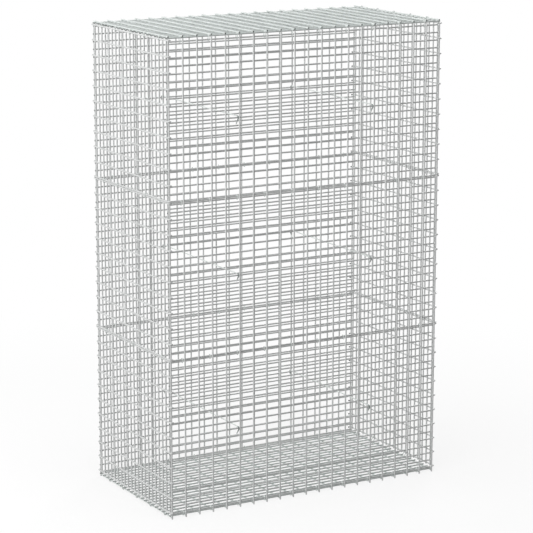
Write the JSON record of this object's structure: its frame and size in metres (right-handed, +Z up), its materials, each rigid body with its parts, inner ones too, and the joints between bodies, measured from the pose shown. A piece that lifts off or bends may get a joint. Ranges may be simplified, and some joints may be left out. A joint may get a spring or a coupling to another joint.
{
  "type": "gabion wall",
  "caption": "Free-standing empty gabion wall: stacked storeys of galvanised welded mesh panels on a mesh base with a mesh cover, clipped with wire rings and held by hooked cross ties.",
  "frame": {"origin": "on the ground, under the middle of the wall", "axes": "+X along the width to the right as seen from the front, +Y to the back, +Z up"},
  "size_m": [1.022, 0.5362, 1.5487],
  "materials": {
    "mesh_wire": "zinc-coated, pale and dull",
    "ring_wire": "zinc-coated, pale and dull",
    "tie_wire": "zinc-coated, pale and dull"
  },
  "bodies": {
    "root": {"base_panel": "mesh_wire", "lower_front_panel": "mesh_wire", "lower_back_panel": "mesh_wire", "lower_left_panel": "mesh_wire", "lower_right_panel": "mesh_wire", "middle_front_panel": "mesh_wire", "middle_back_panel": "mesh_wire", "middle_left_panel": "mesh_wire", "middle_right_panel": "mesh_wire", "upper_front_panel": "mesh_wire", "upper_back_panel": "mesh_wire", "upper_left_panel": "mesh_wire", "upper_right_panel": "mesh_wire", "cover_panel": "mesh_wire", "bottom_front_rings": "ring_wire", "bottom_back_rings": "ring_wire", "bottom_left_rings": "ring_wire", "bottom_right_rings": "ring_wire", "lower_joint_front_rings": "ring_wire", "lower_joint_back_rings": "ring_wire", "lower_joint_left_rings": "ring_wire", "lower_joint_right_rings": "ring_wire", "upper_joint_front_rings": "ring_wire", "upper_joint_back_rings": "ring_wire", "upper_joint_left_rings": "ring_wire", "upper_joint_right_rings": "ring_wire", "top_front_rings": "ring_wire", "top_back_rings": "ring_wire", "top_left_rings": "ring_wire", "top_right_rings": "ring_wire", "lower_left_tie": "tie_wire", "lower_right_tie": "tie_wire", "middle_left_tie": "tie_wire", "middle_right_tie": "tie_wire", "upper_left_tie": "tie_wire", "upper_right_tie": "tie_wire"}
  },
  "joints": []
}
